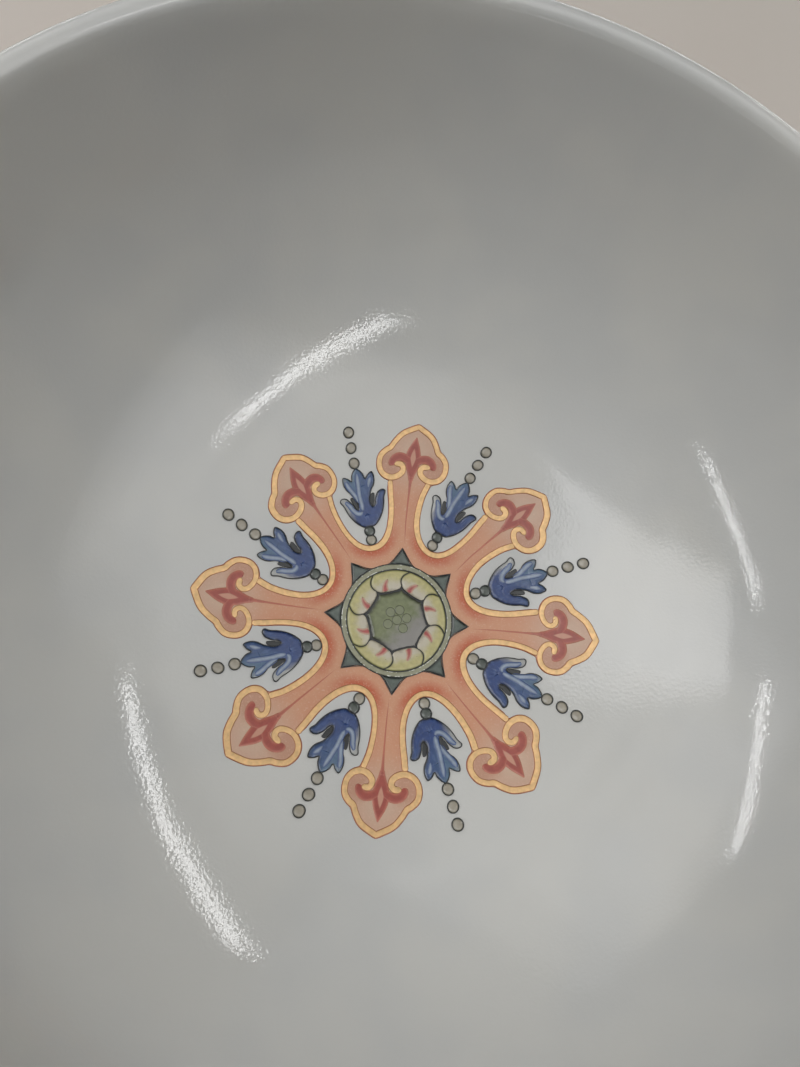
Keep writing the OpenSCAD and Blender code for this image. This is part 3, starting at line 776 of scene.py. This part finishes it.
petal_r = np.linspace(petal_out_r, notch_r, 16)
flank_line = polar(petal_r, petal_flank(petal_r))
sweep = np.linspace(0, 1, 16)
scallop_r = notch_r - scallop_deep * np.sqrt(np.sin(np.pi * np.minimum(sweep, 1 - sweep)))
scallop_line = polar(scallop_r, petal_flank(notch_r) + arm_step * sweep)
star_edge = polar(star_radius(np.degrees(circle_angle), star_tip_r), np.degrees(circle_angle) - star_turn)
dark = new_enamel("dark_drawing", paint(44, 46, 44), paint(30, 33, 34), reach=0.1, mottle=0.3, roughness=0.3)[0]
drawing = [
    (pillow(star_edge, base=0, height=0.1, edge=0.2, spacing=0.15, levels=5), 0),
    (stroke(star_edge, 0.06, base=0.1, height=0.12, closed=True), 0),
    (stroke(ring_out_r * unit_circle, 0.06, base=0.1, height=0.16, closed=True), 0),
    (stroke(ring_in_r * unit_circle, 0.07, base=0.1, height=0.16, closed=True), 0),
]
flank_widths = blunt(flank_line, line_w, start=0.2, end=0.2)
scallop_widths = blunt(scallop_line, line_w, start=0.1, end=0.1)
for k in range(arms):
    drawing.append((stroke(flank_line, flank_widths, base=0.1, height=0.2), k))
    drawing.append((stroke(scallop_line, scallop_widths, base=0.1, height=0.2), k))
add_painted("medallion_drawing", dark, ["medallion_drawing"], drawing)

# Green star and pale ring
# Eight dark green points under a pale green ring, laid as thick drops of enamel inside the drawing.
# Small white glints near the ring's edges are a painted highlight in its colour.
ring_r = 9.19
ring_half_w = 0.46
star = new_enamel("star_green", paint(50, 58, 54), paint(92, 103, 95), reach=0.6, mottle=0.4, roughness=0.16)[0]
point_angle = np.linspace(-13.5, 13.5, 41)
point_edge = np.concatenate([
    polar(star_radius(point_angle, star_tip_r - 0.2) - 0.08, point_angle - star_turn),
    polar(star_foot_r + 0.02, point_angle[::-1] - star_turn),
])
star_forms = [(pillow(point_edge, base=0.05, height=0.14, edge=0.35), k) for k in range(arms)]
add_painted("green_star", star, ["green_star"], star_forms)
ring, tree, shader, green = new_enamel(
    "ring_green", paint(96, 102, 82), paint(158, 158, 132), reach=0.2, mottle=0.3, roughness=0.14
)
# Painted highlight: white glints in blots near the edges of the ring's stroke.
painted_glint_band = fade(tree, paint_place(tree)[2], 0.24, 0.14)
painted_glint = calc(tree, "MULTIPLY", painted_glint_band, fade(tree, cloud(tree, 0.6, 1.0), 0.54, 0.66))
tree.links.new(mixed(tree, painted_glint, green, paint(238, 240, 228)), shader.inputs["Base Color"])
ring_form = stroke(ring_r * unit_circle, ring_half_w, base=0.08, height=0.16, closed=True)
add_painted("green_ring", ring, ["green_ring"], [(ring_form, 0)])

# Petals of the flower
# Yellow-green enamel, thick and domed, paling to cream at the inner ends, each petal lapping the next.
# A short red vein is touched on the foot of each petal.
petal_enamel, tree, shader, yellow = new_enamel(
    "petal_yellow", paint(128, 130, 82), paint(196, 188, 130), reach=0.4, mottle=0.25, roughness=0.15
)
cream_at = calc(tree, "ADD", paint_radius(tree), calc(tree, "MULTIPLY", cloud(tree, 0.9), 1.6))
inner = mixed(tree, fade(tree, cream_at, 8.6, 6.8), yellow, paint(206, 198, 178))
cream = mixed(tree, fade(tree, cream_at, 6.5, 5.6), inner, paint(170, 160, 140))
tree.links.new(cream, shader.inputs["Base Color"])
petal_edge = np.concatenate([
    flank_line,
    scallop_line[1:-1],
    turned(flank_line, arm_step)[::-1][1:],
    polar(petal_out_r, petal_flank(petal_out_r) + arm_step * (1 - sweep[1:-1])),
])
for k in range(arms):
    petal = (pillow(petal_edge, base=0.05, height=0.18, edge=0.6, spacing=0.15), k)
    add_painted(f"petal_{k + 1}", petal_enamel, [f"petal_{k + 1}"], [petal])
vein_foot_r = 5.15
vein_l = 2.0
vein_run = np.linspace(0, 1, 12)
vein = polar(vein_foot_r + vein_l * vein_run, 17 + 9 * vein_run**2)
vein_widths = blunt(vein, width=1.4, start=0.3, end=0.5) * (1 - 0.6 * vein_run)
vein_red = new_enamel("vein_red", paint(202, 172, 148), paint(176, 82, 78), reach=0.5, mottle=0.4)[0]
vein_forms = [(stroke(vein, vein_widths, base=0.23, height=0.02), k) for k in range(arms)]
add_painted("petal_veins", vein_red, ["petal_veins"], vein_forms)

# Seed pod and its seeds
# Olive enamel in one thick pool that darkens at its edge. A grey patch in blots toward its lower right is a painted
# reflection.
# Six seeds are drawn on it as faint rings round a slightly lighter green.
pod_out_r = 5.4
pod_wave = 0.6
pod, tree, shader, olive = new_enamel(
    "pod_olive", paint(48, 50, 38), paint(122, 130, 90), reach=0.9, mottle=0.4, roughness=0.12
)
across, along, _ = paint_place(tree)
# Painted reflection: the olive turns grey in blots toward the pod's lower right.
lower_right = calc(tree, "MULTIPLY_ADD", across, 0.7, calc(tree, "MULTIPLY", along, -0.7))
reflection_and_white_lobe = fade(tree, calc(tree, "MULTIPLY_ADD", cloud(tree, 1.6, 3.0), 5.0, lower_right), 2.2, 6.0)
tree.links.new(mixed(tree, reflection_and_white_lobe, olive, paint(146, 143, 138)), shader.inputs["Base Color"])
past_notch = np.abs(np.sin(arms / 2 * (circle_angle - math.radians(petal_flank(notch_r)))))
pod_r = pod_out_r - pod_wave * past_notch**0.6 + 0.03 * np.sin(23 * circle_angle)
pod_form = drop(pod_r[:, None] * unit_circle, base=0.05, height=0.18, edge=1.0, levels=12)
add_painted("seed_pod", pod, ["seed_pod"], [(pod_form, 0)])
seed_r = 0.84
seed = new_enamel("seed_olive", paint(58, 64, 44), paint(132, 138, 106), reach=0.2, mottle=0.2, roughness=0.14)[0]
seed_spots = [[0, 0], [-1.25, 1.2], [0.3, 1.75], [1.67, 0.52], [1.2, -1.27], [-1.5, -0.87]]
seed_circle = seed_r * unit_circle[::6]
seed_forms = [(drop(seed_circle + spot, base=0.235, height=0.04, edge=0.3), 0) for spot in seed_spots]
add_painted("seeds", seed, ["seeds"], seed_forms)

# Blue leaves
# A three-lobed leaf in each bay in strong blue, darker where the enamel pooled along the drawing.
# White lights are brushed along the midrib and along the lobes, mostly of one side.
leaf_half = smooth([
    [0, 16.95], [1, 17.05], [2.15, 17.95], [3.05, 19.15], [3.6, 20.4], [3.9, 21.4], [4.4, 22.3],
    [3.95, 22.75], [3.1, 22.6], [2.4, 21.75], [1.95, 20.7], [1.45, 20.25], [1.15, 20.95], [1.25, 21.85],
    [1.8, 23.05], [2.6, 24.05], [2.95, 25.15], [2.75, 26.2], [1.9, 25.9], [1.25, 25.35], [1.05, 26.2],
    [0.55, 26.95], [0, 27.4],
], 5)
leaf_edge = np.concatenate([leaf_half, mirrored(leaf_half)[1:-1]])
leaf, tree, shader, blue = new_enamel(
    "leaf_blue", paint(26, 36, 68), paint(42, 68, 124), reach=0.6, mottle=0.3, roughness=0.15
)
across, along, _ = paint_place(tree)
narrow = calc(tree, "MULTIPLY", across, 1.6)
long = calc(tree, "MULTIPLY", along, 0.5)
stretched = add_node(tree, "ShaderNodeCombineXYZ", X=narrow, Y=long).outputs[0]
streaks = add_node(tree, "ShaderNodeTexNoise", Vector=stretched, Scale=1.0, Detail=3.0).outputs[0]
lighter = mixed(tree, fade(tree, streaks, 0.5, 0.75), blue, paint(80, 104, 152))
leftward = calc(tree, "MULTIPLY_ADD", fade(tree, across, 0.9, -0.5), 0.4, 0.2)
upward = calc(tree, "MULTIPLY", fade(tree, along, 19.5, 25.0), leftward)
greyed = mixed(tree, upward, lighter, paint(100, 130, 150))
reflection_and_white_lobe = fade(tree, calc(tree, "MULTIPLY_ADD", streaks, -1.2, across), -2.2, -4.6)
tree.links.new(mixed(tree, reflection_and_white_lobe, greyed, paint(178, 179, 176)), shader.inputs["Base Color"])
for k in range(arms):
    form = pillow(leaf_edge, base=0.05, height=0.18, edge=0.5)
    add_painted(f"blue_leaf_{k + 1}", leaf, [f"blue_leaf_{k + 1}"], [(form, k + 0.5)])
lights = [
    smooth([[-0.6, 19.9], [-0.5, 21.2], [-0.5, 22.6], [-0.3, 24.3], [0, 26.6]]),
    smooth([[-0.6, 19.9], [-1.15, 19.55], [-1.85, 19.8], [-2.4, 20.5], [-2.85, 21.35], [-3.6, 22.2]]),
    smooth([[-2.45, 25.6], [-2.2, 24.6], [-1.7, 23.6], [-1.25, 22.6], [-1, 21.4]]),
    smooth([[2.3, 25.4], [1.8, 24.6], [1.4, 23.6]]),
]
light_w = 1.0
light_finish = new_enamel(
    "leaf_white", paint(52, 78, 130), paint(156, 170, 188), reach=0.5, mottle=0.3, roughness=0.16
)[0]
light_strokes = [stroke(path, blunt(path, light_w, start=0.9, end=1.6), base=0.21, height=0.05) for path in lights]
light_forms = [(form, k + 0.5) for k in range(arms) for form in light_strokes]
add_painted("leaf_lights", light_finish, ["leaf_lights"], light_forms)

# Beads and the drawing in the bays
# A pale bead and a dark one at the inner end of each bay, and a row of three outside each leaf.
# Each is a drop of enamel inside a fine dark ring. The same dark line goes round the leaf and fills its eyes.
pale_bead_at = [-0.5, 14.59]
dark_bead_at = [-0.33, 16.23]
outer_beads_at = [[0, 28.31], [0, 30.96], [0, 33.61]]
bead_r = 0.92
bead_ring_r = 0.94
bead_circle = unit_circle[::5]
leaf_eye = smooth([[1.45, 20.1], [2, 21.2], [2.3, 22.5], [1.65, 22.5], [1.15, 21.2], [1.45, 20.1]])[:-1]
bay_drawing = []
for k in range(arms):
    bay_drawing.append((stroke(leaf_edge, 0.08, base=0.12, height=0.14, closed=True), k + 0.5))
    bay_drawing.append((drop(leaf_eye, base=0.05, height=0.1, edge=0.15), k + 0.5))
    bay_drawing.append((drop(mirrored(leaf_eye), base=0.05, height=0.1, edge=0.15), k + 0.5))
    for at in [pale_bead_at, dark_bead_at, *outer_beads_at]:
        bead_ring = stroke(bead_ring_r * bead_circle + at, 0.07, base=0.1, height=0.12, closed=True)
        bay_drawing.append((bead_ring, k + 0.5))
add_painted("bay_drawing", dark, ["bay_drawing"], bay_drawing)


def bead(at):
    """One drop of enamel, domed over its whole width."""
    return drop(bead_r * bead_circle + at, base=0.05, height=0.2, edge=0.9, levels=6)


pale = new_enamel("bead_grey", paint(104, 102, 88), paint(170, 163, 148), reach=0.35, mottle=0.25, roughness=0.14)[0]
teal = new_enamel("bead_teal", paint(44, 50, 47), paint(84, 91, 85), reach=0.35, mottle=0.25, roughness=0.14)[0]
pale_forms = [(bead(pale_bead_at), k + 0.5) for k in range(arms)]
dark_forms = [(bead(dark_bead_at), k + 0.5) for k in range(arms)]
outer_forms = [(bead(at), k + 0.5) for k in range(arms) for at in outer_beads_at]
add_painted("pale_beads", pale, ["pale_beads"], pale_forms)
add_painted("dark_beads", teal, ["dark_beads"], dark_forms)
add_painted("outer_beads", pale, ["outer_beads"], outer_forms)

# Table, light and camera
# A plain pale table top. Four narrow soft boxes stand where the photograph's highlights mirror them,
# a wide soft light hangs above the left side, and dim panels overhead, one above another, fade outward.
# Two more stacks of panels are seen only as a soft sheen on the floor. Low strips far off light the outside.
table_r = 1.6
table_rings, table_turns = 24, 96
table_run = np.linspace(0, table_r, table_rings)[:, None]
table_turn = np.linspace(0, 2 * np.pi, table_turns, endpoint=False)
table_x = table_run * np.cos(table_turn)
table_points = np.stack([table_x, table_run * np.sin(table_turn), 0 * table_x], axis=-1)
spots = np.arange(table_rings * table_turns).reshape(table_rings, table_turns)
beside = np.roll(spots, -1, axis=1)
table_quads = np.stack([spots[:-1], spots[1:], beside[1:], beside[:-1]], axis=-1).reshape(-1, 4)
table_mesh = bpy.data.meshes.new("table_top")
table_mesh.from_pydata(table_points.reshape(-1, 3).tolist(), [], table_quads.tolist())
table_finish, tree, shader = new_finish("table_top", 0.6)
tree.links.new(
    mixed(tree, cloud(tree, 40.0, 4.0), paint(218, 210, 200), paint(224, 217, 208)), shader.inputs["Base Color"]
)
table_mesh.materials.append(table_finish)
table = bpy.data.objects.new("table_top", table_mesh)
bpy.context.scene.collection.objects.link(table)


def direction(azimuth, elevation):
    """Unit vector at an angle round from X and an angle up from level, in degrees."""
    a = math.radians(azimuth)
    e = math.radians(elevation)
    return Vector((math.cos(e) * math.cos(a), math.cos(e) * math.sin(a), math.sin(e)))


def add_soft_box(name, start, end, width, radiance, distance=0.9, gloss_only=False):
    """Soft box that runs between two directions, its ends at a distance in m, and faces the floor of the bowl."""
    middle = Vector((0, 0, 0.03))
    one = middle + distance * direction(*start)
    other = middle + distance * direction(*end)
    centre = (one + other) / 2
    back = (centre - middle).normalized()
    side = (other - one - (other - one).dot(back) * back).normalized()
    lamp = bpy.data.lights.new(name, "AREA")
    lamp.shape = "RECTANGLE"
    lamp.size = (other - one).length
    lamp.size_y = width
    lamp.energy = radiance * math.pi * lamp.size * lamp.size_y
    box = bpy.data.objects.new(name, lamp)
    box.matrix_world = Matrix.Translation(centre) @ Matrix((side, back.cross(side), back)).transposed().to_4x4()
    box.visible_camera = False
    box.visible_diffuse = not gloss_only
    bpy.context.scene.collection.objects.link(box)


add_soft_box("box_front_right", (-20, 57.8), (-71, 48.8), width=0.045, radiance=9.5, gloss_only=True)
add_soft_box("box_back_right", (18, 47), (50, 28), width=0.045, radiance=9.5)
add_soft_box("box_left", (-154, 39), (171, 37), width=0.015, radiance=21.0)
add_soft_box("box_back_left", (155, 34), (125, 25.5), width=0.015, radiance=21.0)
add_soft_box("box_above", (164, 45.5), (90, 88.5), width=0.3, radiance=2.8)
for k, (elevation, width) in enumerate([(58, 0.85), (66, 0.6), (74, 0.36)]):
    add_soft_box(f"panel_overhead_{k + 1}", (0, elevation), (180, elevation), width, radiance=0.33)
for k, (half, width) in enumerate([(34, 0.78), (24, 0.52), (15, 0.28)]):
    one, other = (-16 - half, 50), (-16 + half, 50)
    add_soft_box(f"glow_right_{k + 1}", one, other, width, radiance=0.65, gloss_only=True)
for k, (half, width) in enumerate([(44, 0.75), (32, 0.55), (20, 0.32)]):
    one, other = (125 - half, 42), (125 + half, 42)
    add_soft_box(f"glow_back_{k + 1}", one, other, width, radiance=0.55, gloss_only=True)
for k, middle in enumerate([-90, 30, 150]):
    one, other = (middle - 42, 0.67), (middle + 42, 0.67)
    add_soft_box(f"low_strip_{k + 1}", one, other, width=0.12, radiance=9.0, distance=3.0)
world = bpy.data.worlds.new("soft_room")
world.use_nodes = True
world.node_tree.nodes["Background"].inputs["Color"].default_value = paint(232, 230, 226)
world.node_tree.nodes["Background"].inputs["Strength"].default_value = 0.1
bpy.context.scene.world = world
bpy.context.scene.view_settings.view_transform = "Standard"

camera_data = bpy.data.cameras.new("camera")
camera_data.sensor_fit = "HORIZONTAL"
camera_data.sensor_width = 36.0
camera_data.lens = 33.5
camera_data.clip_start = 0.005
camera = bpy.data.objects.new("camera", camera_data)
tilt = Matrix.Rotation(math.radians(13.323), 4, "X") @ Matrix.Rotation(math.radians(-12.757), 4, "Y")
camera.matrix_world = Matrix.Translation((-0.027597, -0.014245, 0.134595)) @ tilt
bpy.context.scene.collection.objects.link(camera)
bpy.context.scene.camera = camera

bpy.context.view_layer.update()
